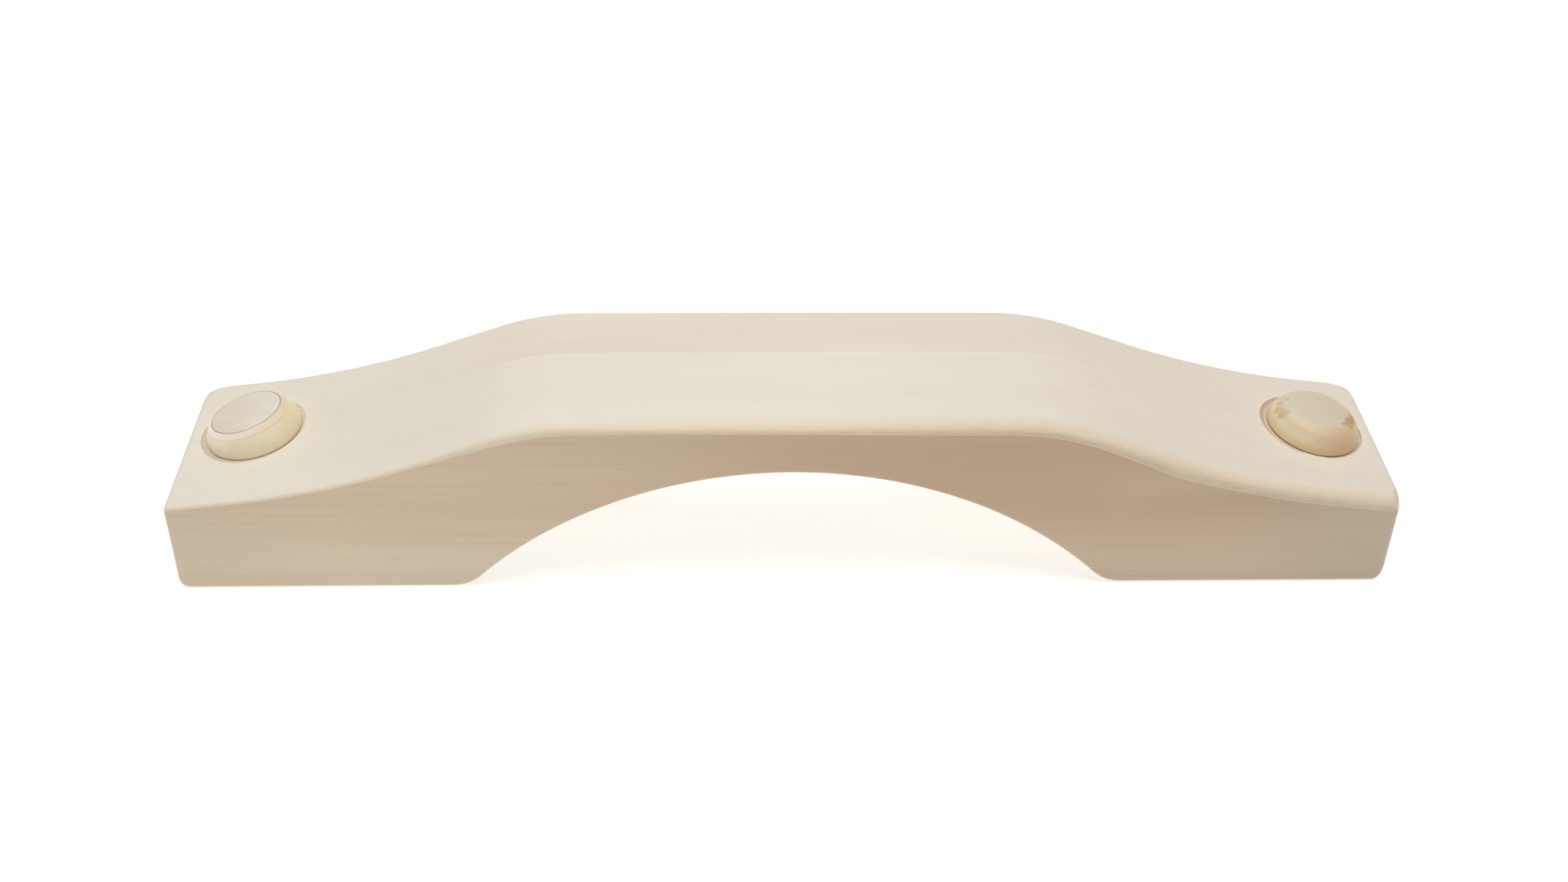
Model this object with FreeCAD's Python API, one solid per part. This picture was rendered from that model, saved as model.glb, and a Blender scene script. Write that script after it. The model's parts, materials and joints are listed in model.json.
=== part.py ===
import FreeCAD, Part
import math
import os

# Wooden bow pull handle with two push-in button plugs over its screw holes.
#
# Frame, in millimetres: +X along the handle, +Z away from the surface that the handle is
# screwed to, origin on the base plane midway between the two feet and midway across the
# width. The two ends mirror each other about the plane X = 0, so each feature is made for
# one side and placed on both.

# Driving dimensions of the body.
LENGTH = 250.0
WIDTH = 44.0
HEIGHT = 40.5
FOOT_END_HEIGHT = 20.9      # height of the end faces

# Top outline, from the middle outwards.
GRIP_FLAT_HALF = 43.0       # half length of the level grip
SHOULDER_RADIUS = 49.0      # convex bend at each end of the grip
SLOPE_ANGLE = 21.5          # steepest fall, in degrees
SLOPE_END_X = 72.0          # where the straight slope turns into the hollow
PAD_ANGLE = 7.0             # fall of the pads at the ends, in degrees

# Underside.
ARCH_HEIGHT = 28.8          # finger room under the middle of the grip
ARCH_RADIUS = 89.2
TOE_RADIUS = 8.0            # convex turn from the arch into the flat of the foot

# Edge rounding.
TOP_EDGE_RADIUS = 3.0       # also the upright corners
BASE_EDGE_RADIUS = 0.8

# Screw holes and plug seats.
SCREW_SPACING = 219.0
SCREW_OFFSET = 2.0          # holes and plugs stand this far behind the middle of the width
SCREW_HOLE_RADIUS = 2.5
SCREW_SEAT_RADIUS = 5.2     # level pocket that the screw head pulls down on
SCREW_SEAT_DROP = 1.2       # pocket floor below the middle of the plug bore's floor
SEAT_TILT = 8.0             # plug axis leans outwards, square to the pad, in degrees
SEAT_SINK = 0.05            # seat below the pad at the bore's centre
SEAT_RADIUS = 11.0
BORE_RADIUS = 6.0
BORE_DEPTH = 12.0

# Button plug.
TENON_CLEARANCE = 0.05
TENON_LENGTH = 7.0
TENON_CHAMFER = 0.6
HEAD_RADIUS = 10.1
HEAD_RIM_HEIGHT = 0.4
HEAD_BEVEL_RADIUS = 8.2
HEAD_BEVEL_HEIGHT = 4.0
HEAD_TOP_RADIUS = 7.2
HEAD_HEIGHT = 4.9
HEAD_SIDE_BULGE = 0.45      # how far the side stands out from the straight cone

SIDES = {"left_plug": -1, "right_plug": 1}


def point(x, z, y=0.0):
    """A point given by its place in the side outline, on the middle plane unless y is given."""
    return FreeCAD.Vector(x, y, z)


def pad_normal(angle):
    """Unit normal, pointing up, of a top surface that falls outwards by an angle in degrees."""
    return point(math.sin(math.radians(angle)), math.cos(math.radians(angle)))


def hollow_radius(start):
    """Radius of the hollow that ends on a pad whose end face has the stated height."""
    steep = math.radians(SLOPE_ANGLE)
    gentle = math.radians(PAD_ANGLE)
    fall = start.z - FOOT_END_HEIGHT - (LENGTH / 2 - start.x) * math.tan(gentle)
    saved = (math.sin(steep) - math.sin(gentle)) * math.tan(gentle)
    return fall / (math.cos(gentle) - math.cos(steep) - saved)


def top_outline():
    """Key points and arc centres of the top outline on the +X side."""
    flat_end = point(GRIP_FLAT_HALF, HEIGHT)
    shoulder_centre = flat_end - point(0.0, SHOULDER_RADIUS)
    shoulder_end = shoulder_centre + pad_normal(SLOPE_ANGLE) * SHOULDER_RADIUS
    fall = (SLOPE_END_X - shoulder_end.x) * math.tan(math.radians(SLOPE_ANGLE))
    slope_end = point(SLOPE_END_X, shoulder_end.z - fall)
    radius = hollow_radius(slope_end)
    hollow_centre = slope_end + pad_normal(SLOPE_ANGLE) * radius
    hollow_end = hollow_centre - pad_normal(PAD_ANGLE) * radius
    return {
        "flat_end": flat_end,
        "shoulder_centre": shoulder_centre,
        "shoulder_end": shoulder_end,
        "slope_end": slope_end,
        "hollow_radius": radius,
        "hollow_centre": hollow_centre,
        "hollow_end": hollow_end,
        "end": point(LENGTH / 2, FOOT_END_HEIGHT),
    }


def top_height(x):
    """Height of the top surface above the base at a distance from the middle."""
    outline = top_outline()
    x = abs(x)
    if x <= outline["flat_end"].x:
        return HEIGHT
    if x <= outline["shoulder_end"].x:
        centre = outline["shoulder_centre"]
        return centre.z + math.sqrt(SHOULDER_RADIUS**2 - (x - centre.x)**2)
    if x <= outline["slope_end"].x:
        along = x - outline["shoulder_end"].x
        return outline["shoulder_end"].z - along * math.tan(math.radians(SLOPE_ANGLE))
    if x <= outline["hollow_end"].x:
        centre = outline["hollow_centre"]
        return centre.z - math.sqrt(outline["hollow_radius"]**2 - (x - centre.x)**2)
    return FOOT_END_HEIGHT + (LENGTH / 2 - x) * math.tan(math.radians(PAD_ANGLE))


def arc_about(centre, start, end):
    """The shorter arc about a centre from one point to another."""
    radius = (start - centre).Length
    middle = (start - centre) + (end - centre)
    return Part.Arc(start, centre + middle.normalize() * radius, end).toShape()


def line(start, end):
    return Part.LineSegment(start, end).toShape()


def mirrored(edge):
    return edge.mirror(point(0.0, 0.0), FreeCAD.Vector(1.0, 0.0, 0.0))


def side_outline():
    """Closed side outline of the body."""
    top = top_outline()
    arch_centre = point(0.0, ARCH_HEIGHT - ARCH_RADIUS)
    reach = ARCH_RADIUS + TOE_RADIUS
    toe_x = math.sqrt(reach**2 - (TOE_RADIUS - arch_centre.z)**2)
    toe_centre = point(toe_x, TOE_RADIUS)
    toe_top = arch_centre + (toe_centre - arch_centre) * (ARCH_RADIUS / reach)
    toe_bottom = point(toe_x, 0.0)
    corner = point(LENGTH / 2, 0.0)
    one_side = [
        arc_about(top["shoulder_centre"], top["flat_end"], top["shoulder_end"]),
        line(top["shoulder_end"], top["slope_end"]),
        arc_about(top["hollow_centre"], top["slope_end"], top["hollow_end"]),
        line(top["hollow_end"], top["end"]),
        line(top["end"], corner),
        line(corner, toe_bottom),
        arc_about(toe_centre, toe_bottom, toe_top),
    ]
    grip = line(point(-GRIP_FLAT_HALF, HEIGHT), top["flat_end"])
    arch = arc_about(arch_centre, point(-toe_top.x, toe_top.z), toe_top)
    edges = one_side + [mirrored(edge) for edge in one_side] + [grip, arch]
    return Part.Wire(Part.__sortEdges__(edges))


def middle_of(edge):
    return edge.valueAt((edge.FirstParameter + edge.LastParameter) / 2)


def is_upper_edge(edge):
    """Whether an edge of the plain body bounds the top, or stands upright at a corner."""
    middle = middle_of(edge)
    on_top = abs(middle.z - top_height(middle.x)) < 1e-3
    on_rim = abs(abs(middle.y) - WIDTH / 2) < 1e-3 or abs(abs(middle.x) - LENGTH / 2) < 1e-3
    upright = abs(edge.tangentAt(edge.FirstParameter).z) > 0.999
    return (on_top and on_rim) or upright


def is_base_edge(edge):
    """Whether an edge bounds the feet or the arch on either side face or on an end."""
    if edge.Degenerated:
        return False
    middle = middle_of(edge)
    on_side = abs(abs(middle.y) - WIDTH / 2) < 1e-3
    on_end = abs(abs(middle.x) - LENGTH / 2) < 1e-3
    below_top = top_height(middle.x) - middle.z > 2 * TOP_EDGE_RADIUS
    upright = abs(edge.tangentAt(edge.FirstParameter).z) > 0.999
    return (on_side or on_end) and below_top and not upright


def rounded_blank():
    """The body before drilling, with its edges rounded."""
    outline = side_outline()
    outline.translate(FreeCAD.Vector(0.0, -WIDTH / 2, 0.0))
    blank = Part.Face(outline).extrude(FreeCAD.Vector(0.0, WIDTH, 0.0))
    upper = [edge for edge in blank.Edges if is_upper_edge(edge)]
    blank = blank.makeFillet(TOP_EDGE_RADIUS, upper)
    lower = [edge for edge in blank.Edges if is_base_edge(edge)]
    return blank.makeFillet(BASE_EDGE_RADIUS, lower)


def plug_axis(side):
    """Direction in which the plug on one side pulls out."""
    out = pad_normal(SEAT_TILT)
    return FreeCAD.Vector(side * out.x, 0.0, out.z)


def seat_centre(side):
    """Where the plug's axis meets its seat."""
    x = SCREW_SPACING / 2 + BORE_DEPTH * math.sin(math.radians(SEAT_TILT))
    return point(side * x, top_height(x) - SEAT_SINK, SCREW_OFFSET)


def drilling(side):
    """Everything that is drilled out at one end, as one solid."""
    axis = plug_axis(side)
    seat = seat_centre(side)
    floor = seat - axis * BORE_DEPTH
    up = FreeCAD.Vector(0.0, 0.0, 1.0)
    pocket_floor = floor - up * SCREW_SEAT_DROP
    below = point(pocket_floor.x, -1.0, SCREW_OFFSET)
    spot_face = Part.makeCylinder(SEAT_RADIUS, HEIGHT, seat, axis)
    bore = Part.makeCylinder(BORE_RADIUS, BORE_DEPTH + 1.0, floor, axis)
    pocket = Part.makeCylinder(SCREW_SEAT_RADIUS, 2 * SCREW_SEAT_DROP, pocket_floor, up)
    screw_hole = Part.makeCylinder(SCREW_HOLE_RADIUS, pocket_floor.z + 2.0, below, up)
    return spot_face.fuse([bore, pocket, screw_hole])


def handle_body():
    """The single piece of wood: feet, arch and grip, drilled at both ends."""
    body = rounded_blank()
    for side in SIDES.values():
        body = body.cut(drilling(side))
    return body.removeSplitter().Solids[0]


def button_plug(side):
    """Mushroom plug: a tenon in the bore and a bevelled button head on the seat."""
    tenon_radius = BORE_RADIUS - TENON_CLEARANCE
    rim = point(HEAD_RADIUS, HEAD_RIM_HEIGHT)
    bevel = point(HEAD_BEVEL_RADIUS, HEAD_BEVEL_HEIGHT)
    chord = bevel - rim
    outwards = point(chord.z, -chord.x).normalize()
    bulge = (rim + bevel) * 0.5 + outwards * HEAD_SIDE_BULGE
    side_curve = Part.Arc(rim, bulge, bevel).toShape()
    before_curve = [
        point(0.0, HEAD_HEIGHT),
        point(0.0, -TENON_LENGTH),
        point(tenon_radius - TENON_CHAMFER, -TENON_LENGTH),
        point(tenon_radius, -TENON_LENGTH + TENON_CHAMFER),
        point(tenon_radius, 0.0),
        point(HEAD_RADIUS, 0.0),
        rim,
    ]
    after_curve = [bevel, point(HEAD_TOP_RADIUS, HEAD_HEIGHT), before_curve[0]]
    edges = [line(a, b) for a, b in zip(before_curve, before_curve[1:])]
    edges.append(side_curve)
    edges.extend(line(a, b) for a, b in zip(after_curve, after_curve[1:]))
    section = Part.Face(Part.Wire(edges))
    up = FreeCAD.Vector(0.0, 0.0, 1.0)
    plug = section.revolve(point(0.0, 0.0), up, 360.0)
    plug.rotate(point(0.0, 0.0), FreeCAD.Vector(0.0, 1.0, 0.0), side * SEAT_TILT)
    plug.translate(seat_centre(side))
    return plug


def main():
    os.makedirs("parts", exist_ok=True)
    nodes = {"handle_body": handle_body()}
    for name, side in SIDES.items():
        nodes[name] = button_plug(side)
    for name, shape in nodes.items():
        shape.exportStep(f"parts/{name}.step")
        box = shape.BoundBox
        print(name, shape.ShapeType, "valid", shape.isValid(), "volume", round(shape.Volume, 1),
              "size", round(box.XLength, 2), round(box.YLength, 2), round(box.ZLength, 2))
    for name, side in SIDES.items():
        seat = seat_centre(side)
        axis = plug_axis(side)
        print(name, "seat", round(seat.x, 3), round(seat.z, 3),
              "axis", round(axis.x, 5), round(axis.z, 5))
    clash = nodes["handle_body"].common(nodes["left_plug"]).Volume
    print("overlap of body and plug", round(clash, 6))


main()
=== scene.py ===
import json
import math

import bmesh
import bpy
import numpy as np
from mathutils import Matrix, Vector, noise


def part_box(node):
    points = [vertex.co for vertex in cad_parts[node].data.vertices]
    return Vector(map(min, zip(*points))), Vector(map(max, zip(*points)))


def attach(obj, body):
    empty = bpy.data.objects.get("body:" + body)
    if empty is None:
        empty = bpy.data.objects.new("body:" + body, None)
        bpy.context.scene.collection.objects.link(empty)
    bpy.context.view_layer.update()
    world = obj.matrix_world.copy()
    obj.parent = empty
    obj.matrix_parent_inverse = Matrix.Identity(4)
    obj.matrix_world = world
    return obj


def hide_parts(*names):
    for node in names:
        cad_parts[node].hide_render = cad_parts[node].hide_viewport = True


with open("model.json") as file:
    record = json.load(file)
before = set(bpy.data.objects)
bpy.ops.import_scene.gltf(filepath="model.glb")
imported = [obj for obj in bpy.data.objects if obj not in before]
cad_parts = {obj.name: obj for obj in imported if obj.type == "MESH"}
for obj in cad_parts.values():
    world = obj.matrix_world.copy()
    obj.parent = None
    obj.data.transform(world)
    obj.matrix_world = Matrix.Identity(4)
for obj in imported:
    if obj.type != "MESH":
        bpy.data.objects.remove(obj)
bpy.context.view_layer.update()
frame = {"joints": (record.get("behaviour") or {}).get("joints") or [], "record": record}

# A pale wooden bow pull handle with two mushroom-shaped button plugs.
# Everything is in metres, in the CAD frame: X along the handle, Z up from the base.

MM = 0.001
_, body_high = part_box("handle_body")
record = frame["record"]
screw_mount = next(m for m in record["mounts"] if m["name"] == "screw_holes")
pull_joint = next(j for j in frame["joints"] if j["child"] == "right_plug")

# Sizes read from the frame.
HALF_LENGTH = body_high.x
HALF_WIDTH = body_high.y
HEIGHT = body_high.z
SCREW_X = screw_mount["dims"]["spacing_x_mm"] * MM / 2
SCREW_Y = screw_mount["pos_m"][1]
SCREW_RADIUS = screw_mount["dims"]["hole_r_mm"] * MM
SEAT_TILT = math.asin(pull_joint["axis"][0])

# Side outline, the same bends as the CAD body has.
GRIP_FLAT_HALF = 43 * MM
SHOULDER_RADIUS = 49 * MM
SLOPE_ANGLE = math.radians(21.5)
SLOPE_END_X = 72 * MM
PAD_ANGLE = math.radians(7)
END_HEIGHT = 20.9 * MM
ARCH_HEIGHT = 28.8 * MM
ARCH_RADIUS = 89.2 * MM
TOE_RADIUS = 8 * MM

# Plug seats and plugs.
SEAT_SINK = 0.05 * MM
SEAT_RADIUS = 11 * MM
BORE_RADIUS = 6 * MM
BORE_DEPTH = 12 * MM
POCKET_RADIUS = 5.2 * MM
POCKET_DROP = 1.2 * MM
BORE_MOUTH = 0.3 * MM                              # bevel round the bore's mouth
SEAT_EASE = (0.1 * MM, 0.02 * MM)                  # run and rise of the bevel round the seat
SCREW_BEVEL = 0.4 * MM                             # bevel round the screw hole at the base
CUT_BELOW = 2 * MM                                 # how far the screw's cutter starts below the base


def smoothstep(low, high, value):
    t = np.clip((value - low) / (high - low), 0.0, 1.0)
    return t * t * (3 - 2 * t)


# ---------------------------------------------------------------- side outline

def slope_points():
    """Where the shoulder, the straight slope and the hollow meet, and the hollow's circle."""
    shoulder_x = GRIP_FLAT_HALF + SHOULDER_RADIUS * math.sin(SLOPE_ANGLE)
    shoulder_z = HEIGHT - SHOULDER_RADIUS * (1 - math.cos(SLOPE_ANGLE))
    slope_z = shoulder_z - (SLOPE_END_X - shoulder_x) * math.tan(SLOPE_ANGLE)
    fall = slope_z - END_HEIGHT - (HALF_LENGTH - SLOPE_END_X) * math.tan(PAD_ANGLE)
    saved = (math.sin(SLOPE_ANGLE) - math.sin(PAD_ANGLE)) * math.tan(PAD_ANGLE)
    radius = fall / (math.cos(PAD_ANGLE) - math.cos(SLOPE_ANGLE) - saved)
    centre_x = SLOPE_END_X + radius * math.sin(SLOPE_ANGLE)
    centre_z = slope_z + radius * math.cos(SLOPE_ANGLE)
    return shoulder_x, shoulder_z, radius, centre_x, centre_z


def top_height(x):
    """Height of the top at each distance from the middle."""
    shoulder_x, shoulder_z, radius, centre_x, centre_z = slope_points()
    x = np.abs(np.asarray(x, float))
    hollow_end = centre_x - radius * math.sin(PAD_ANGLE)
    rise = np.sqrt(np.maximum(SHOULDER_RADIUS**2 - (x - GRIP_FLAT_HALF) ** 2, 0))
    dip = np.sqrt(np.maximum(radius**2 - (x - centre_x) ** 2, 0))
    pieces = [
        np.full_like(x, HEIGHT),
        HEIGHT - SHOULDER_RADIUS + rise,
        shoulder_z - (x - shoulder_x) * math.tan(SLOPE_ANGLE),
        centre_z - dip,
        END_HEIGHT + (HALF_LENGTH - x) * math.tan(PAD_ANGLE),
    ]
    tests = [x <= GRIP_FLAT_HALF, x <= shoulder_x, x <= SLOPE_END_X, x <= hollow_end, x > 0]
    return np.select(tests, pieces)


def toe_start():
    """Where the arch meets the toe's round, and where that round meets the base."""
    arch_z = ARCH_HEIGHT - ARCH_RADIUS
    reach = ARCH_RADIUS + TOE_RADIUS
    toe_x = math.sqrt(reach**2 - (TOE_RADIUS - arch_z) ** 2)
    return toe_x * ARCH_RADIUS / reach, toe_x


def under_height(x):
    """Height of the underside at each distance from the middle."""
    meet_x, toe_x = toe_start()
    x = np.abs(np.asarray(x, float))
    arch = ARCH_HEIGHT - ARCH_RADIUS + np.sqrt(np.maximum(ARCH_RADIUS**2 - x**2, 0))
    toe = TOE_RADIUS - np.sqrt(np.maximum(TOE_RADIUS**2 - (x - toe_x) ** 2, 0))
    return np.where(x <= meet_x, arch, np.where(x <= toe_x, toe, 0.0))


def seat_frame(side):
    """The plug's own axes at one end: origin at the middle of its seat, Z out along its axis."""
    x = SCREW_X + BORE_DEPTH * math.sin(SEAT_TILT)
    z = float(top_height(x)) - SEAT_SINK
    turn = Matrix.Rotation(side * SEAT_TILT, 4, "Y")
    return Matrix.Translation((side * x, SCREW_Y, z)) @ turn


# ---------------------------------------------------------------- mesh helpers

def new_object(name, vertices, faces):
    mesh = bpy.data.meshes.new(name)
    mesh.from_pydata([tuple(v) for v in vertices], [], faces)
    mesh.update()
    made = bpy.data.objects.new(name, mesh)
    bpy.context.scene.collection.objects.link(made)
    return made


def lathe(name, profile, place, segments=128):
    """A closed turned solid. The profile runs from axis to axis as (radius, height) pairs."""
    angles = [2 * math.pi * k / segments for k in range(segments)]
    vertices = [Vector((0, 0, profile[0][1]))]
    for radius, height in profile[1:-1]:
        vertices += [Vector((radius * math.cos(a), radius * math.sin(a), height)) for a in angles]
    vertices.append(Vector((0, 0, profile[-1][1])))
    rings = len(profile) - 2
    last = len(vertices) - 1
    faces = []
    for k in range(segments):
        following = (k + 1) % segments
        faces.append((0, 1 + following, 1 + k))
        for ring in range(rings - 1):
            a = 1 + ring * segments
            b = a + segments
            faces.append((a + k, a + following, b + following, b + k))
        top = 1 + (rings - 1) * segments
        faces.append((top + k, top + following, last))
    made = new_object(name, [place @ v for v in vertices], faces)
    face_outwards(made)
    return made


def face_outwards(piece):
    mesh = bmesh.new()
    mesh.from_mesh(piece.data)
    bmesh.ops.recalc_face_normals(mesh, faces=mesh.faces)
    mesh.to_mesh(piece.data)
    mesh.free()


def smooth(piece, angle=30):
    piece.data.shade_smooth()
    piece.data.set_sharp_from_angle(angle=math.radians(angle))


def subtract(piece, cutter):
    """Cuts the cutter out of the piece and removes the cutter."""
    cut = piece.modifiers.new("cut", "BOOLEAN")
    cut.operation = "DIFFERENCE"
    cut.solver = "EXACT"
    cut.object = cutter
    graph = bpy.context.evaluated_depsgraph_get()
    result = bpy.data.meshes.new_from_object(piece.evaluated_get(graph))
    piece.modifiers.clear()
    piece.data = result
    bpy.data.objects.remove(cutter)


# ---------------------------------------------------------------- handle body

# Roundings of the end faces' edges, at the left (-1) and the right (1) end.
END_ROUND_FRONT = {-1: 1.1 * MM, 1: 2.9 * MM}
END_ROUND_BACK = {-1: 4.6 * MM, 1: 5.0 * MM}
END_ROUND_TOP = {-1: 1.1 * MM, 1: 1.4 * MM}
END_ROUND_BASE = {-1: 2.4 * MM, 1: 3.2 * MM}
TOP_BACK_ROUND = 3.0 * MM
CREASE_SLOPE = 0.4                                 # run per drop where the worn edge meets the side
BASE_ROUND = 0.9 * MM
END_TURN = 0.3                                     # share of an end rounding before its colour turns
BACK_WEAR = 0.5                                    # wear of the back edge, against the front one
SIDE_LAST = 0.988                                  # the side's last row stands just below the crease
STATION_STEP = 0.8 * MM
END_STATIONS = 18
TOP_CELLS = 44
ROUND_CELLS = 8
SIDE_CELLS = 22
CREASE_Y = 4.0 * MM                                # ridge line along the grip
REAR_FACET = math.radians(1.5)                     # fall of the band behind the ridge
FRONT_FACET_START = -15.0 * MM
FRONT_FACET = math.radians(3.0)
CAP_RINGS = (0.97, 0.6)                            # rings inside each end face, as shares of its outline
FACET_FADE = (0.40, 0.66)                          # where the flats end, as shares of the half length
FACET_HEIGHTS = (0.45, 0.85)                       # where they set in, as shares of the body's height
SANDING_DEPTH = 0.07 * MM                          # how uneven the hand-sanded faces are
SANDING_LENGTH = 28 * MM
SANDING_STRETCH = 0.6                              # makes the long waves longer along the grain
RIPPLE_RATE = 3.0                                  # short waves, against the long ones
RIPPLE_SHARE = 0.3
SANDING_FADE = (0.4 * MM, 2.5 * MM)                # heights between which the sanding sets in
LONG_WAVE_SEED = Vector((3.1, 7.7, 1.3))
RIPPLE_SEED = Vector((11.0, 2.0, 5.0))


# The worn front top edge, given at places that are shares of the half length: how far
# back it reaches and how far it drops, in millimetres.
FRONT_EDGE = [
    (-1.00, 0.9, 0.55), (-0.59, 1.2, 0.80), (-0.46, 2.2, 1.60), (-0.34, 2.6, 1.35),
    (-0.20, 4.0, 1.20), (0.00, 5.0, 1.50), (0.25, 5.0, 1.80), (0.50, 4.8, 1.70),
    (0.56, 4.6, 2.20), (0.62, 4.5, 2.95), (0.75, 3.8, 2.50), (1.00, 4.2, 2.40),
]


def front_edge_size(x):
    """How far back and how far down the worn front top edge reaches, at each place along X."""
    places, reach, drop = np.transpose(FRONT_EDGE)
    share = x / HALF_LENGTH
    return np.interp(share, places, reach) * MM, np.interp(share, places, drop) * MM


def end_inset(distance, radius):
    """How far a rounded end corner falls in, at a distance from the end face."""
    inside = np.minimum(distance, radius)
    return radius - np.sqrt(np.maximum(radius**2 - (radius - inside) ** 2, 0))


def by_side(x, values):
    """The left end's value where X is negative, and the right end's elsewhere."""
    return np.where(x < 0, values[-1], values[1])


def facet_fall(x, y):
    """How far the flats on the top of the grip lie below its level middle."""
    on_grip = 1 - smoothstep(*FACET_FADE, np.abs(x) / HALF_LENGTH)
    behind = np.maximum(y - CREASE_Y, 0) * math.tan(REAR_FACET)
    before = np.maximum(FRONT_FACET_START - y, 0) * math.tan(FRONT_FACET)
    return (behind + before) * on_grip


def stations():
    """Places along the handle where its section is taken, close together at the ends."""
    reach = max(END_ROUND_BACK.values())
    turns = np.linspace(0, math.pi / 2, END_STATIONS)
    near_end = HALF_LENGTH - reach * (1 - np.cos(turns))
    count = int((HALF_LENGTH - reach) / STATION_STEP)
    inner = np.linspace(0, HALF_LENGTH - reach, count, endpoint=False)
    one_side = np.concatenate([inner, near_end[::-1]])
    return np.concatenate([-one_side[:0:-1], one_side])


def sections(x):
    """Points round the section at each station, starting at top middle.

    Returns y and z, how much each point belongs to an upright face, and how much to a worn edge; the
    shader paints shade by both.
    """
    x = x[:, None]
    from_end = HALF_LENGTH - np.abs(x)
    front = HALF_WIDTH - end_inset(from_end, by_side(x, END_ROUND_FRONT))
    back = HALF_WIDTH - end_inset(from_end, by_side(x, END_ROUND_BACK))
    top = top_height(x) - end_inset(from_end, by_side(x, END_ROUND_TOP))
    base = under_height(x) + end_inset(from_end, by_side(x, END_ROUND_BASE))
    reach, drop = front_edge_size(x)
    top_end, base_end, front_end, back_end = (
        smoothstep(END_TURN, 1, 1 - from_end / by_side(x, radii))
        for radii in (END_ROUND_TOP, END_ROUND_BASE, END_ROUND_FRONT, END_ROUND_BACK)
    )
    share = np.linspace(0, 1, TOP_CELLS, endpoint=False)[None]
    side = np.linspace(0, 1, SIDE_CELLS, endpoint=False)[None]
    rising = np.linspace(0, SIDE_LAST, SIDE_CELLS)[None]
    t = np.linspace(0, 1, ROUND_CELLS, endpoint=False)[None]
    none = np.zeros((1, 1))
    full = np.ones((1, 1))

    def corner(y, z, radius, start):
        angle = t * math.pi / 2 + start
        return y + radius * np.sin(angle), z + radius * np.cos(angle)

    back_worn = BACK_WEAR * smoothstep(0, 0.35, t) * (1 - smoothstep(0.6, 1, t))
    edge_y = reach * t * t + 2 * t * (1 - t) * CREASE_SLOPE * drop - front
    edge_z = top - drop * (1 - t) ** 2
    parts = [
        ((back - TOP_BACK_ROUND) * share, top, top_end, none),
        (*corner(back - TOP_BACK_ROUND, top - TOP_BACK_ROUND, TOP_BACK_ROUND, 0),
         np.maximum(smoothstep(0.5, 1, t), back_end), back_worn * (1 - back_end)),
        (back, (top - TOP_BACK_ROUND) * (1 - side) + (base + BASE_ROUND) * side, full, none),
        (*corner(back - BASE_ROUND, base + BASE_ROUND, BASE_ROUND, math.pi / 2),
         np.maximum(1 - smoothstep(0.3, 1, t), base_end), none),
        ((back - BASE_ROUND) * (1 - share) - (front - BASE_ROUND) * share, base, base_end, none),
        (*corner(BASE_ROUND - front, base + BASE_ROUND, BASE_ROUND, math.pi),
         np.maximum(smoothstep(0, 0.7, t), base_end), none),
        (-front, (base + BASE_ROUND) * (1 - rising) + (top - drop) * rising, full, none),
        (edge_y, edge_z, front_end, (1 - t) * (1 - front_end)),
        ((reach - front) * (1 - share), top, top_end, none),
    ]
    columns = []
    for part in parts:
        width = max(array.shape[1] for array in part)
        columns.append([np.broadcast_to(array, (len(x), width)) for array in part])
    y, z, upright, worn = (np.concatenate(rows, axis=1) for rows in zip(*columns))
    upper = smoothstep(*FACET_HEIGHTS, (z - base) / (top - base))
    return y, z - facet_fall(x * np.ones_like(y), y) * upper, upright, worn


def sand(piece):
    """Moves the faces in and out a little, as hand sanding leaves them, but not the base."""
    offsets = []
    for vertex in piece.data.vertices:
        place = vertex.co / SANDING_LENGTH
        long_place = Vector((place.x * SANDING_STRETCH, place.y, place.z))
        long_wave = noise.noise(long_place + LONG_WAVE_SEED)
        ripple = noise.noise(place * RIPPLE_RATE + RIPPLE_SEED) * RIPPLE_SHARE
        keep = float(smoothstep(*SANDING_FADE, vertex.co.z))
        offsets.append((long_wave + ripple) * SANDING_DEPTH * keep)
    normals = [vertex.normal.copy() for vertex in piece.data.vertices]
    for vertex, normal, offset in zip(piece.data.vertices, normals, offsets):
        vertex.co += normal * (offset - SANDING_DEPTH)
    piece.data.update()


def body_blank():
    """The body before drilling: its sections skinned, with a closed face at each end."""
    x = stations()
    y, z, upright, worn = sections(x)
    count, around = y.shape
    vertices = np.stack([np.repeat(x[:, None], around, 1), y, z], axis=2).reshape(-1, 3).tolist()
    faces = []
    for i in range(count - 1):
        for k in range(around):
            following = (k + 1) % around
            a = i * around
            b = a + around
            faces.append((a + k, a + following, b + following, b + k))
    for start in (0, (count - 1) * around):
        ring = [start + k for k in range(around)]
        middle = np.mean([vertices[k] for k in ring], axis=0)
        for shrink in CAP_RINGS:
            inner = []
            for k in ring:
                inner.append(len(vertices))
                vertices.append((middle + (np.array(vertices[k]) - middle) * shrink).tolist())
            for k in range(around):
                following = (k + 1) % around
                faces.append((ring[k], ring[following], inner[following], inner[k]))
            ring = inner
        faces.append(tuple(ring))
    piece = new_object("handle_wood", vertices, faces)
    face_outwards(piece)
    cap_points = len(vertices) - y.size
    for name, marks, on_caps in (("side_face", upright, 1.0), ("edge_wear_and_shade", worn, 0.0)):
        layer = piece.data.attributes.new(name, "FLOAT", "POINT")
        layer.data.foreach_set("value", np.concatenate([marks.ravel(), np.full(cap_points, on_caps)]))
    return piece


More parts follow.
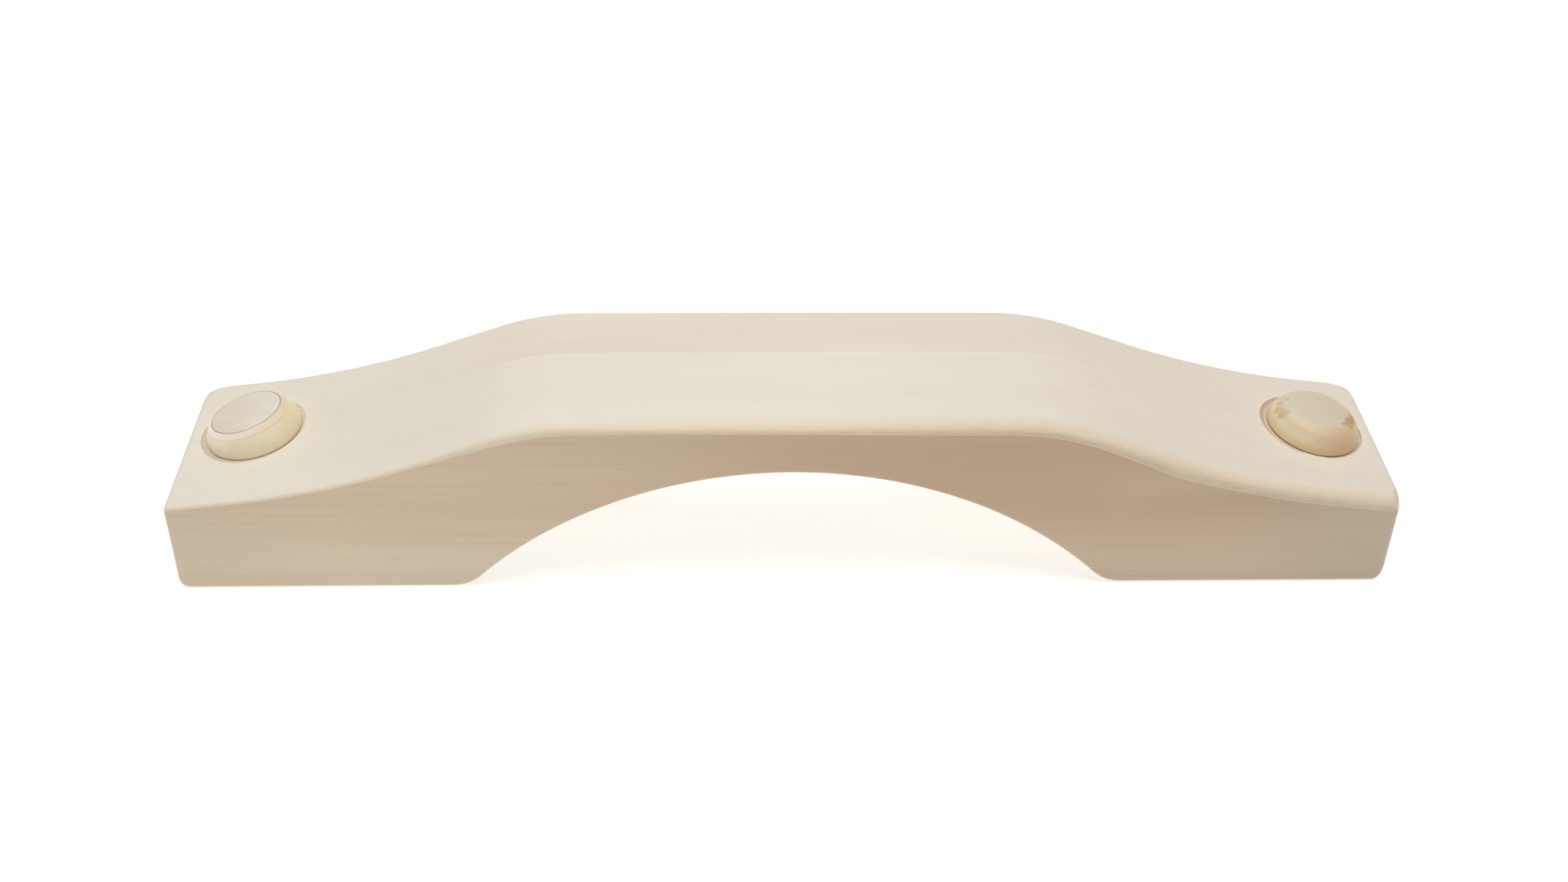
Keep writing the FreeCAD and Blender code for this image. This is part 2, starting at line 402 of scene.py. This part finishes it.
def drill(piece, side):
    """Cuts the plug's seat and bore, the screw's pocket and its hole, at one end."""
    seat = seat_frame(side)
    ease_run, ease_rise = SEAT_EASE
    seat_cut = [
        (0, -BORE_DEPTH), (BORE_RADIUS, -BORE_DEPTH), (BORE_RADIUS, -BORE_MOUTH),
        (BORE_RADIUS + BORE_MOUTH, 0), (SEAT_RADIUS - ease_run, 0), (SEAT_RADIUS, ease_rise),
        (SEAT_RADIUS, HEIGHT), (0, HEIGHT),
    ]
    subtract(piece, lathe("seat_cut", seat_cut, seat))
    floor = seat @ Vector((0, 0, -BORE_DEPTH))
    pocket_floor = floor.z - POCKET_DROP
    upright = Matrix.Translation((floor.x, floor.y, 0))
    pocket_top = pocket_floor + 2 * POCKET_DROP
    cone_radius = SCREW_RADIUS + CUT_BELOW + SCREW_BEVEL
    screw_cut = [
        (0, -CUT_BELOW), (cone_radius, -CUT_BELOW), (SCREW_RADIUS, SCREW_BEVEL),
        (SCREW_RADIUS, pocket_floor), (POCKET_RADIUS, pocket_floor),
        (POCKET_RADIUS, pocket_top), (0, pocket_top),
    ]
    subtract(piece, lathe("screw_cut", screw_cut, upright, segments=64))


# ---------------------------------------------------------------- plugs

# Heads are turned a little off their tenons and sanded by hand: a shift along X and Y, a lean
# per height, a slope of the top along X and Y, and a little more length across the handle.
HEAD_SHIFT = {-1: (0.35 * MM, 0.02 * MM), 1: (0.25 * MM, -0.45 * MM)}
HEAD_LEAN = {-1: (-0.146, -0.03), 1: (-0.04, 0.0)}
HEAD_SLOPE = {-1: (0.115, -0.068), 1: (0.0, 0.0)}
HEAD_STRETCH = 1.04
LEAN_START = 1.0 * MM
SLOPE_HEIGHT = 4.0 * MM
# Sizes that the plug profiles need, in millimetres.
TENON_RADIUS = 5.95
TENON_LENGTH = 7.0
TENON_TIP = (5.2, 6.3)                             # the tip's radius, and how far down its bevel starts
HEAD_FOOT = {-1: 9.95, 1: 9.72}                   # radius of each head's foot
HEAD_HEIGHT = {-1: 5.03, 1: 4.9}
LINE_RADIUS = 7.44                                 # turned line round the left plug's flat top

HEAD_WOBBLE = {-1: 0.10 * MM, 1: 0.22 * MM}        # unevenness of the hand-finished shoulders
WOBBLE_HEIGHT = 3.6 * MM                           # above here the unevenness is full
WOBBLE_LENGTH = 6 * MM
HEAD_BASE = 0.01 * MM                              # the tenon is below this height
PLUG_SEGMENTS = 160
PLUG_SMOOTH = 50                                   # degrees; steeper edges stay sharp


def bowed(start, end, bulge, count):
    """Points along a shallow bow from start to end, both included."""
    along = Vector((end[0] - start[0], end[1] - start[1]))
    out = Vector((along.y, -along.x)).normalized()
    points = []
    for t in np.linspace(0, 1, count):
        rise = 4 * bulge * t * (1 - t)
        points.append((start[0] + along.x * t + out.x * rise, start[1] + along.y * t + out.y * rise))
    return points


def curved(start, first, second, end, count):
    """Points along a smooth curve from start to end, drawn towards the two points between."""
    points = []
    for t in np.linspace(0, 1, count):
        parts = ((1 - t) ** 3, 3 * t * (1 - t) ** 2, 3 * t * t * (1 - t), t**3)
        corners = (start, first, second, end)
        points.append(tuple(sum(w * c[k] for w, c in zip(parts, corners)) for k in (0, 1)))
    return points


def plug_profile(side):
    """Half section of a plug from the tenon's foot to the top, as (radius, height)."""
    foot = HEAD_FOOT[side]
    tip_radius, tip_start = TENON_TIP
    tenon = [(0, -TENON_LENGTH)]
    tenon += bowed((tip_radius, -TENON_LENGTH), (TENON_RADIUS, -tip_start), 0.08, 5)
    tenon += [(TENON_RADIUS, -0.35), (6.2, 0.02)]
    head = [(foot - 0.5, 0.03)] + bowed((foot - 0.2, 0.05), (foot, 0.28), 0.04, 4)
    if side < 0:
        # A bowed side, a softened edge, a bevel, and a turned line round a flat top.
        line = LINE_RADIUS
        head += bowed((foot, 0.36), (8.66, 3.75), 0.16, 9)
        head += bowed((8.60, 3.88), (8.46, 4.04), 0.03, 4)
        head += [(line + 0.22, 4.84), (line + 0.08, 4.88), (line, 4.83), (line - 0.08, 4.93)]
        head += [(line - 0.25, 4.99), (line - 0.6, 5.01)]
    else:
        # One curve from the foot over the shoulder to a nearly flat top.
        head += curved((foot, 0.36), (9.35, 2.3), (8.60, 4.4), (6.3, 4.78), 18)
        head += [(5.4, 4.86)]
    top = [(3.5, HEAD_HEIGHT[side] - 0.01), (0, HEAD_HEIGHT[side])]
    return [(radius * MM, height * MM) for radius, height in tenon + head + top]


def button_plug(name, side):
    """A turned plug with slightly uneven hand-finished edges."""
    piece = lathe(name, plug_profile(side), Matrix.Identity(4), segments=PLUG_SEGMENTS)
    seed = Vector((side * 5.0, 1.7, 0.4))
    for vertex in piece.data.vertices:
        if vertex.co.z > HEAD_BASE:
            lift = float(smoothstep(LEAN_START, WOBBLE_HEIGHT, vertex.co.z))
            sample = vertex.co / WOBBLE_LENGTH + seed
            push = (noise.noise(sample) - 0.5) * HEAD_WOBBLE[side] * lift
            outward = Vector((vertex.co.x, vertex.co.y, 0))
            if outward.length > 0:
                vertex.co += outward.normalized() * push
            slope = vertex.co.x * HEAD_SLOPE[side][0] + vertex.co.y * HEAD_SLOPE[side][1]
            above = max(vertex.co.z - LEAN_START, 0) * (1 + slope / SLOPE_HEIGHT)
            vertex.co.z = min(vertex.co.z, LEAN_START) + above
            vertex.co.x += HEAD_SHIFT[side][0] + HEAD_LEAN[side][0] * above
            stretched = vertex.co.y * HEAD_STRETCH
            vertex.co.y = stretched + HEAD_SHIFT[side][1] + HEAD_LEAN[side][1] * above
    piece.data.transform(seat_frame(side))
    piece.data.update()
    smooth(piece, PLUG_SMOOTH)
    return piece


# ---------------------------------------------------------------- node helpers

class Shader:
    """A material's node tree with short calls for the nodes that the woods use."""

    def __init__(self, name):
        self.material = bpy.data.materials.new(name)
        self.material.use_nodes = True
        self.tree = self.material.node_tree
        self.surface = self.tree.nodes["Principled BSDF"]
        self.place = self.node("ShaderNodeTexCoord").outputs["Object"]

    def node(self, kind, **settings):
        made = self.tree.nodes.new(kind)
        for key, value in settings.items():
            setattr(made, key, value)
        return made

    def feed(self, socket, value):
        if isinstance(value, bpy.types.NodeSocket):
            self.tree.links.new(value, socket)
        else:
            socket.default_value = value

    def math(self, operation, first, second=0.0, clamp=False):
        made = self.node("ShaderNodeMath", operation=operation, use_clamp=clamp)
        self.feed(made.inputs[0], first)
        self.feed(made.inputs[1], second)
        return made.outputs[0]

    def sum_of_squares(self, first, second):
        squares = [self.math("MULTIPLY", value, value) for value in (first, second)]
        return self.math("ADD", *squares)

    def mapped(self, scale, offset=(0, 0, 0), source=None):
        made = self.node("ShaderNodeMapping")
        self.feed(made.inputs["Vector"], source or self.place)
        made.inputs["Scale"].default_value = scale
        made.inputs["Location"].default_value = offset
        return made.outputs[0]

    def noise(self, scale, detail=3.0, rough=0.55, offset=(0, 0, 0), source=None, bend=0.0):
        """Noise stretched by a scale per axis, in cycles per metre."""
        made = self.node("ShaderNodeTexNoise")
        self.feed(made.inputs["Vector"], self.mapped(scale, offset, source))
        made.inputs["Scale"].default_value = 1.0
        made.inputs["Detail"].default_value = detail
        made.inputs["Roughness"].default_value = rough
        made.inputs["Distortion"].default_value = bend
        return made.outputs[0]

    def remap(self, value, low, high, to_low=0.0, to_high=1.0, soft=True):
        made = self.node("ShaderNodeMapRange", interpolation_type="SMOOTHSTEP" if soft else "LINEAR")
        self.feed(made.inputs["Value"], value)
        made.inputs["From Min"].default_value = low
        made.inputs["From Max"].default_value = high
        made.inputs["To Min"].default_value = to_low
        made.inputs["To Max"].default_value = to_high
        return made.outputs[0]

    def mix(self, factor, first, second, blend="MIX"):
        made = self.node("ShaderNodeMix", data_type="RGBA", blend_type=blend)
        self.feed(made.inputs[0], factor)
        for socket, value in ((made.inputs[6], first), (made.inputs[7], second)):
            self.feed(socket, value if isinstance(value, bpy.types.NodeSocket) else (*value, 1.0))
        return made.outputs[2]

    def split(self, vector):
        made = self.node("ShaderNodeSeparateXYZ")
        self.feed(made.inputs[0], vector)
        return made.outputs

    def bump(self, height, depth, strength=1.0, below=None):
        made = self.node("ShaderNodeBump")
        self.feed(made.inputs["Height"], height)
        made.inputs["Distance"].default_value = depth
        made.inputs["Strength"].default_value = strength
        if below is not None:
            self.feed(made.inputs["Normal"], below)
        return made.outputs[0]


# ---------------------------------------------------------------- wood of the body

TOP_PAD = (0.735, 0.690, 0.580)
TOP_PAD_RIGHT = (0.728, 0.655, 0.547)
TOP_GRIP = (0.790, 0.738, 0.638)
TOP_PINK = (0.750, 0.665, 0.550)
EDGE_WARM = ((0.780, 0.672, 0.490), (0.715, 0.598, 0.435))   # towards -X, and towards +X
# The long faces' colours are darker and warmer than the top's: partly side-grain tone, partly painted
# shade on the upright faces.
SIDE_YELLOW = (0.716, 0.616, 0.466)
SIDE_PINK = (0.615, 0.487, 0.362)
SIDE_PAINTED_SHADE = ((0.865, 0.805, 0.755), (0.795, 0.720, 0.655))   # painted shade, multiplied into the side away from the base
SIDE_END = {-1: ((0.560, 0.470, 0.350), 0.40), 1: ((0.470, 0.400, 0.300), 0.75)}   # with strengths
# A painted highlight: a thin pale ring on the pad round each plug's foot.
PAINTED_RIM_HIGHLIGHT = (0.920, 0.850, 0.700)
PAINTED_RIM_STRENGTH = 0.30
PAINTED_RIM_FADE = (0.25 * MM, 0.9 * MM)                  # fades out over these distances from the plug
STREAK = (0.500, 0.360, 0.240)
RIDGE_LIGHT = (0.860, 0.800, 0.700)
SPECK = (0.200, 0.120, 0.060)


def painted_seat_highlight(s, x, y, z, side):
    """A thin pale ring round the foot of one plug: a painted highlight on the seat's rim, which also
    lifts the shade there.
    """
    middle = seat_frame(side).to_translation()
    off_x = s.math("SUBTRACT", x, middle.x + HEAD_SHIFT[side][0])
    off_y = s.math("DIVIDE", s.math("SUBTRACT", y, middle.y + HEAD_SHIFT[side][1]), HEAD_STRETCH)
    away = s.math("SQRT", s.sum_of_squares(off_x, off_y))
    foot = HEAD_FOOT[side] * MM
    near, far = PAINTED_RIM_FADE
    on_pad = s.remap(z, 0.5 * END_HEIGHT, 0.6 * END_HEIGHT)
    return s.math("MULTIPLY", s.remap(away, foot + near, foot + far, PAINTED_RIM_STRENGTH, 0.0), on_pad)


def body_wood():
    """Pale, fine-sanded wood with its grain along X; its long faces and front edge carry painted shade,
    and a painted highlight rings each plug.
    """
    s = Shader("pale_body_wood")
    x, y, z = s.split(s.place)
    side = s.node("ShaderNodeAttribute", attribute_name="side_face").outputs["Fac"]
    edge = s.node("ShaderNodeAttribute", attribute_name="edge_wear_and_shade").outputs["Fac"]

    broad = s.noise((5, 60, 75), detail=2)
    streaks = s.noise((7, 420, 520), detail=4, rough=0.6, offset=(4, 1, 7))
    fibres = s.noise((60, 2100, 2300), detail=3, rough=0.6, offset=(2, 5, 1))
    pink = s.noise((16, 26, 40), detail=2, offset=(9, 3, 2))
    fuzz = s.noise((250, 1800, 1800), detail=2, offset=(1, 8, 3))

    # The top: paler on the grip, pinker behind its ridge.
    from_middle = s.math("ABSOLUTE", x)
    along_grip = s.remap(from_middle, 0.054, 0.085, 1.0, 0.0)
    pale = s.remap(from_middle, 0.045, 0.080, 1.0, 0.0)
    pale = s.math("MULTIPLY", pale, s.remap(x, -0.01, 0.05, 1.0, 0.45))
    rear_band = s.remap(y, CREASE_Y - 0.15 * MM, CREASE_Y + 0.15 * MM)
    rear = s.math("MULTIPLY", rear_band, along_grip)
    top = s.mix(s.remap(x, 0.035, 0.070), TOP_PAD, TOP_PAD_RIGHT)
    top = s.mix(pale, top, TOP_GRIP)
    pinkness = s.remap(pink, 0.35, 0.65, 0.0, 0.30)
    pinkness = s.math("ADD", pinkness, s.math("MULTIPLY", rear, 0.60), clamp=True)
    top = s.mix(pinkness, top, TOP_PINK)

    # The long faces: pinker towards +X, and painted shade that darkens them away from the base, where
    # less light comes up from the floor, more so towards +X.
    right_share = s.remap(x, -0.095, 0.055)
    side_mix = s.remap(pink, 0.32, 0.66, 0.55, 1.0)
    side_mix = s.math("MULTIPLY", side_mix, s.remap(right_share, 0, 1, 0.15, 1.0))
    long_face = s.mix(side_mix, SIDE_YELLOW, SIDE_PINK)
    painted_side_shade = s.mix(right_share, *SIDE_PAINTED_SHADE)
    away = s.remap(z, 1 * MM, 21 * MM, soft=False)
    long_face = s.mix(away, long_face, s.mix(1.0, long_face, painted_side_shade, blend="MULTIPLY"))
    for one, (end_colour, strength) in SIDE_END.items():
        long_face = s.mix(s.remap(x, one * 0.085, one * 0.125, 0.0, strength), long_face, end_colour)
    # Upright faces take the long face's colour, partly side-grain tone and partly painted shade.
    base = s.mix(side, top, long_face)
    # The worn edges turn warm first; then the front edge's rounding takes the long face's colour as
    # painted shade, so it darkens sooner towards the side.
    wear_and_shade_strength = s.math("MULTIPLY", s.remap(fuzz, 0.3, 0.7, 0.70, 1.0), s.remap(x, -0.09, -0.02, 0.45, 1.0))
    warm = s.mix(s.remap(x, -0.01, 0.05), *EDGE_WARM)
    base = s.mix(s.math("MULTIPLY", s.remap(edge, 0.0, 0.55), wear_and_shade_strength), base, warm)
    base = s.mix(s.math("MULTIPLY", s.remap(edge, 0.45, 1.0, 0.0, 0.6), wear_and_shade_strength), base, long_face)
    # A painted highlight round each plug's foot.
    for one in (-1, 1):
        base = s.mix(painted_seat_highlight(s, x, y, z, one), base, PAINTED_RIM_HIGHLIGHT)

    # The pale ridge line along the grip, fainter here and there.
    from_ridge = s.math("ABSOLUTE", s.math("SUBTRACT", y, CREASE_Y - 0.1 * MM))
    ridge = s.math("MULTIPLY", s.remap(from_ridge, 0.05 * MM, 0.22 * MM, 0.8, 0.0), along_grip)
    broken = s.noise((60, 0, 0), detail=2, offset=(5, 0, 0))
    ridge = s.math("MULTIPLY", ridge, s.remap(broken, 0.35, 0.6, 0.35, 1.0))
    base = s.mix(ridge, base, RIDGE_LIGHT)

    # Grain lines, strongest on the long faces, and small changes of tone.
    lines = s.noise((22, 800, 950), detail=3, rough=0.6, offset=(6, 2, 9))
    strength = s.remap(side, 0.0, 1.0, 0.035, 0.20)
    dark = s.math("ADD", s.remap(streaks, 0.50, 0.72), s.remap(lines, 0.52, 0.70, 0.0, 0.7), clamp=True)
    base = s.mix(s.math("MULTIPLY", dark, strength), base, STREAK)
    tone = s.math("ADD", s.remap(broad, 0.3, 0.7, -0.025, 0.025, soft=False),
                  s.remap(fibres, 0.25, 0.75, -0.025, 0.025, soft=False))
    level = s.node("ShaderNodeHueSaturation")
    s.feed(level.inputs["Color"], base)
    s.feed(level.inputs["Value"], s.math("ADD", tone, 1.0))
    base = level.outputs[0]

    # A few dark specks.
    cells = s.node("ShaderNodeTexVoronoi", feature="F1")
    s.feed(cells.inputs["Vector"], s.mapped((90, 150, 150)))
    cells.inputs["Scale"].default_value = 1.0
    dot = s.remap(cells.outputs["Distance"], 0.035, 0.06, 1.0, 0.0)
    rare = s.remap(s.split(cells.outputs["Color"])[0], 0.93, 0.94)
    base = s.mix(s.math("MULTIPLY", s.math("MULTIPLY", dot, rare), 0.5), base, SPECK)

    s.feed(s.surface.inputs["Base Color"], base)
    s.feed(s.surface.inputs["Roughness"], s.remap(streaks, 0.3, 0.7, 0.52, 0.64))
    s.surface.inputs["Specular IOR Level"].default_value = 0.35
    coarse = s.bump(streaks, 0.05 * MM, 0.35)
    s.feed(s.surface.inputs["Normal"], s.bump(fibres, 0.02 * MM, 0.5, below=coarse))
    return s.material


# ---------------------------------------------------------------- wood of the plugs

# Each pair of colours runs from the plug's -X side to its +X side.
# The sides are painted paler than the tops: partly the wood's tone, partly painted light on the steep
# sides, most on the left plug.
PLUG_SIDE = {
    -1: ((0.920, 0.810, 0.630), (0.940, 0.825, 0.595)),
    1: ((0.875, 0.765, 0.540), (0.655, 0.450, 0.265)),
}
PLUG_SPREAD = 8.5 * MM                             # the colours run from -this to +this along X
PLUG_SIDE_END = {-1: PLUG_SPREAD, 1: 5.5 * MM}     # but the right plug's side ends sooner
PLUG_BEVEL = ((0.895, 0.800, 0.715), (0.750, 0.625, 0.450))
PLUG_TOP = {
    -1: ((0.685, 0.592, 0.458), (0.722, 0.685, 0.612)),
    1: ((0.665, 0.590, 0.455), (0.615, 0.525, 0.400)),
}
PLUG_FAR_SHADE = (0.760, 0.645, 0.405)                   # painted shade on the left plug's lit side furthest towards +X
# Painted shade on the right plug's side towards its shoulder, where the lamps light it.
PLUG_SHOULDER_SHADE = (0.620, 0.465, 0.285)
PLUG_SEAM = (0.260, 0.130, 0.040)
PLUG_LINE = (0.330, 0.190, 0.080)
PLUG_SPOT = (0.500, 0.310, 0.155)
# Amber towards each plug's foot: partly the wood's colour, partly painted light that lifts the shade
# there.
PLUG_AMBER_AND_LIGHT = (0.880, 0.590, 0.270)
PLUG_AMBER_AND_LIGHT_STRENGTH = {-1: 0.15, 1: 0.45}
PLUG_SEAM_HEIGHT = {-1: 0.20 * MM, 1: 0.34 * MM}
PLUG_SEAM_STRENGTH = {-1: 0.60, 1: 0.90}
PLUG_GRAIN = {-1: 0.18, 1: 0.25}
WORN_CENTRE = (-0.4 * MM, 1.4 * MM)                # the right plug's worn pale top
WORN_RADII = (7.4 * MM, 7.3 * MM)
# Stains at the right plug's shoulder: a colour, a strength, and each patch's x, y, z and radius
# in millimetres on the plug.
PLUG_STAINS = [
    ((0.560, 0.380, 0.190), 0.48, [
        (-8.2, -2.0, 3.6, 1.3), (-7.3, -1.9, 4.3, 1.1), (-7.8, -1.0, 4.1, 0.8),
        (-8.6, 0.2, 3.3, 0.9), (-7.7, 1.6, 4.1, 0.7), (-5.9, 2.1, 4.8, 0.7),
    ]),
    ((0.430, 0.250, 0.145), 0.75, [
        (5.5, -4.2, 4.4, 1.7), (6.4, -3.0, 4.4, 1.5), (7.3, -1.9, 4.2, 1.5),
        (4.5, -4.7, 4.6, 0.9), (7.2, -0.7, 4.4, 0.8),
    ]),
]


def soft_patches(s, local, ragged, places):
    """Soft patches round the listed places, with uneven edges."""
    total = None
    for x, y, z, radius in places:
        away = s.node("ShaderNodeVectorMath", operation="DISTANCE")
        s.feed(away.inputs[0], local)
        away.inputs[1].default_value = (x * MM, y * MM, z * MM)
        uneven = s.remap(ragged, 0.3, 0.7, -0.6 * MM, 0.6 * MM, soft=False)
        reach = s.math("ADD", away.outputs["Value"], uneven)
        patch = s.remap(reach, 0.35 * radius * MM, radius * MM, 1.0, 0.0)
        total = patch if total is None else s.math("MAXIMUM", total, patch)
    return total


def plug_wood(name, side):
    """Turned wood: warm side grain, a paler sanded top, and a dark seam where it meets the pad; the
    sides carry painted light and painted shade.
    """
    s = Shader(name)
    seat = seat_frame(side)
    local = s.node("ShaderNodeMapping", vector_type="TEXTURE")
    s.feed(local.inputs["Vector"], s.place)
    local.inputs["Location"].default_value = seat.to_translation()
    local.inputs["Rotation"].default_value = seat.to_euler()
    local = local.outputs[0]
    x, y, z = s.split(local)
    # Undo the head's shift, lean, slope and stretch, so that rings follow the turned shape.
    above = s.math("MAXIMUM", s.math("SUBTRACT", z, LEAN_START), 0.0)
    lean_x, lean_y = (s.math("MULTIPLY", above, lean) for lean in HEAD_LEAN[side])
    x = s.math("SUBTRACT", s.math("SUBTRACT", x, lean_x), HEAD_SHIFT[side][0])
    y = s.math("SUBTRACT", s.math("SUBTRACT", y, lean_y), HEAD_SHIFT[side][1])
    y = s.math("DIVIDE", y, HEAD_STRETCH)
    rise_x, rise_y = (s.math("MULTIPLY", at, slope) for at, slope in zip((x, y), HEAD_SLOPE[side]))
    rise = s.math("ADD", rise_x, rise_y)
    level = s.math("DIVIDE", above, s.math("ADD", s.math("DIVIDE", rise, SLOPE_HEIGHT), 1.0))
    z = s.math("ADD", s.math("MINIMUM", z, LEAN_START), level)
    radius = s.math("SQRT", s.sum_of_squares(x, y))
    across = s.remap(x, -PLUG_SPREAD, PLUG_SPREAD)

    grain = s.noise((130, 700, 500), detail=4, rough=0.6, source=local, bend=0.6)
    patches = s.noise((330, 400, 400), detail=3, source=local, offset=(side * 3, 2, 1), bend=0.5)
    fine = s.noise((900, 3000, 2500), detail=2, source=local)

    # Side colours: partly the wood's tone, partly painted light.
    base = s.mix(s.remap(x, -PLUG_SPREAD, PLUG_SIDE_END[side]), *PLUG_SIDE[side])
    base = s.mix(s.remap(grain, 0.42, 0.8, 0.0, PLUG_GRAIN[side]), base, PLUG_SPOT)
    top = s.mix(across, *PLUG_TOP[side])
    top = s.mix(s.remap(grain, 0.4, 0.7, 0.0, 0.22), top, PLUG_SIDE[side][1])
    if side < 0:
        # Painted shade on the side furthest towards +X.
        base = s.mix(s.remap(x, 6.2 * MM, 9.4 * MM, 0.0, 0.55), base, PLUG_FAR_SHADE)
        base = s.mix(s.remap(z, 3.6 * MM, 4.2 * MM), base, s.mix(across, *PLUG_BEVEL))
        on_top = s.remap(radius, (LINE_RADIUS - 0.1) * MM, (LINE_RADIUS + 0.1) * MM, 1.0, 0.0)
    else:
        # Painted shade: the side darkens towards the lit shoulder.
        base = s.mix(s.remap(z, 2.4 * MM, 4.2 * MM, 0.0, 0.65), base, PLUG_SHOULDER_SHADE)
        worn_x = s.math("DIVIDE", s.math("SUBTRACT", x, WORN_CENTRE[0]), WORN_RADII[0])
        worn_y = s.math("DIVIDE", s.math("SUBTRACT", y, WORN_CENTRE[1]), WORN_RADII[1])
        worn = s.sum_of_squares(worn_x, worn_y)
        worn = s.math("ADD", worn, s.remap(patches, 0.3, 0.7, -0.14, 0.14, soft=False))
        worn = s.math("ADD", worn, s.remap(grain, 0.3, 0.7, -0.08, 0.08, soft=False))
        on_top = s.remap(worn, 0.92, 1.10, 1.0, 0.0)
    high = s.remap(z, 3.2 * MM, 3.8 * MM)
    base = s.mix(s.math("MULTIPLY", on_top, high), base, top)
    if side > 0:
        for colour, strength, places in PLUG_STAINS:
            stain = soft_patches(s, local, patches, places)
            base = s.mix(s.math("MULTIPLY", stain, strength), base, colour)
    outer = s.remap(radius, (HEAD_FOOT[side] - 1.0) * MM, (HEAD_FOOT[side] - 0.5) * MM)
    # Amber towards the foot: partly the wood's colour, partly painted light against the shade at the
    # foot.
    amber_and_light = s.remap(z, 0.3 * MM, 2.8 * MM, PLUG_AMBER_AND_LIGHT_STRENGTH[side], 0.0)
    base = s.mix(s.math("MULTIPLY", amber_and_light, outer), base, PLUG_AMBER_AND_LIGHT)
    seam = s.remap(z, 0.08 * MM, PLUG_SEAM_HEIGHT[side], PLUG_SEAM_STRENGTH[side], 0.0)
    base = s.mix(s.math("MULTIPLY", seam, outer), base, PLUG_SEAM)
    if side < 0:
        off_line = s.math("ABSOLUTE", s.math("SUBTRACT", radius, LINE_RADIUS * MM))
        line = s.math("MULTIPLY", s.remap(off_line, 0.03 * MM, 0.16 * MM, 0.85, 0.0), high)
        base = s.mix(line, base, PLUG_LINE)

    s.feed(s.surface.inputs["Base Color"], base)
    s.feed(s.surface.inputs["Roughness"], s.remap(grain, 0.3, 0.7, 0.42, 0.58))
    s.surface.inputs["Specular IOR Level"].default_value = 0.4
    coarse = s.bump(grain, 0.06 * MM, 0.4)
    s.feed(s.surface.inputs["Normal"], s.bump(fine, 0.015 * MM, 0.4, below=coarse))
    return s.material


# ---------------------------------------------------------------- stage

CAMERA_LENS = 43.36
CAMERA_SENSOR = 36.0
CAMERA_DISTANCE = 396.7 * MM
CAMERA_ELEVATION = math.radians(36.54)
CAMERA_YAW = math.radians(-2.58)
CAMERA_ROLL = math.radians(1.32)
CAMERA_TARGET = Vector((-0.74 * MM, 0, 20.79 * MM))
FLOOR_HALF = 4.0
FLOOR_GREY = 0.85
FLOOR_GLOW = 0.46
SKY_STRENGTH = 0.25
SUN_STRENGTH = 2.45
SUN_SPREAD = 60                                    # degrees, for soft shadows
FILL_POWER = 0.5
FILL_SIZE = 0.5


def add_camera():
    back = Vector((
        math.sin(CAMERA_YAW) * math.cos(CAMERA_ELEVATION),
        -math.cos(CAMERA_YAW) * math.cos(CAMERA_ELEVATION),
        math.sin(CAMERA_ELEVATION),
    ))
    data = bpy.data.cameras.new("camera")
    data.lens = CAMERA_LENS
    data.sensor_width = CAMERA_SENSOR
    data.clip_start = 0.01
    camera = bpy.data.objects.new("camera", data)
    bpy.context.scene.collection.objects.link(camera)
    level = (-back).to_track_quat("-Z", "Y").to_matrix().to_4x4()
    roll = Matrix.Rotation(CAMERA_ROLL, 4, "Z")
    place = Matrix.Translation(CAMERA_TARGET + back * CAMERA_DISTANCE)
    camera.matrix_world = place @ level @ roll
    bpy.context.scene.camera = camera


def add_floor():
    size = FLOOR_HALF
    corners = [(-size, -size, 0), (size, -size, 0), (size, size, 0), (-size, size, 0)]
    floor = new_object("floor", corners, [(0, 1, 2, 3)])
    s = Shader("pale_floor")
    s.surface.inputs["Base Color"].default_value = (FLOOR_GREY, FLOOR_GREY, FLOOR_GREY, 1)
    s.surface.inputs["Roughness"].default_value = 0.9
    s.surface.inputs["Specular IOR Level"].default_value = 0.1
    s.surface.inputs["Emission Color"].default_value = (1, 1, 1, 1)
    s.surface.inputs["Emission Strength"].default_value = FLOOR_GLOW
    floor.data.materials.append(s.material)


def add_sun(name, strength, colour, direction, spread):
    data = bpy.data.lights.new(name, "SUN")
    data.energy = strength
    data.color = colour
    data.angle = math.radians(spread)
    sun = bpy.data.objects.new(name, data)
    sun.rotation_mode = "QUATERNION"
    sun.rotation_quaternion = Vector(direction).to_track_quat("-Z", "Y")
    bpy.context.scene.collection.objects.link(sun)


def add_softbox(name, power, colour, place, target, size):
    data = bpy.data.lights.new(name, "AREA")
    data.energy = power
    data.color = colour
    data.size = size
    box = bpy.data.objects.new(name, data)
    box.location = place
    box.rotation_mode = "QUATERNION"
    box.rotation_quaternion = (Vector(target) - Vector(place)).to_track_quat("-Z", "Y")
    bpy.context.scene.collection.objects.link(box)


def add_lights():
    world = bpy.data.worlds.new("studio")
    world.use_nodes = True
    sky = world.node_tree.nodes["Background"]
    sky.inputs["Color"].default_value = (1.0, 0.99, 0.98, 1)
    sky.inputs["Strength"].default_value = SKY_STRENGTH
    bpy.context.scene.world = world
    add_sun("overhead", SUN_STRENGTH, (1.0, 1.0, 1.0), (-0.05, -0.10, -1.0), SUN_SPREAD)
    fill_place, fill_target = (-0.65, -0.60, 0.28), (-0.10, 0.0, 0.01)
    add_softbox("fill", FILL_POWER, (1.0, 0.97, 0.93), fill_place, fill_target, FILL_SIZE)
    bpy.context.scene.view_settings.view_transform = "Standard"


# ---------------------------------------------------------------- assembly

add_camera()
add_floor()
add_lights()

handle = body_blank()
sand(handle)
for side in (-1, 1):
    drill(handle, side)
smooth(handle)
handle.data.materials.clear()
handle.data.materials.append(body_wood())
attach(handle, "handle")
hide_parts("handle_body")

for body, side in (("left_plug", -1), ("right_plug", 1)):
    plug = button_plug(body + "_wood", side)
    plug.data.materials.append(plug_wood(body + "_grain", side))
    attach(plug, body)
    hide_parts(body)
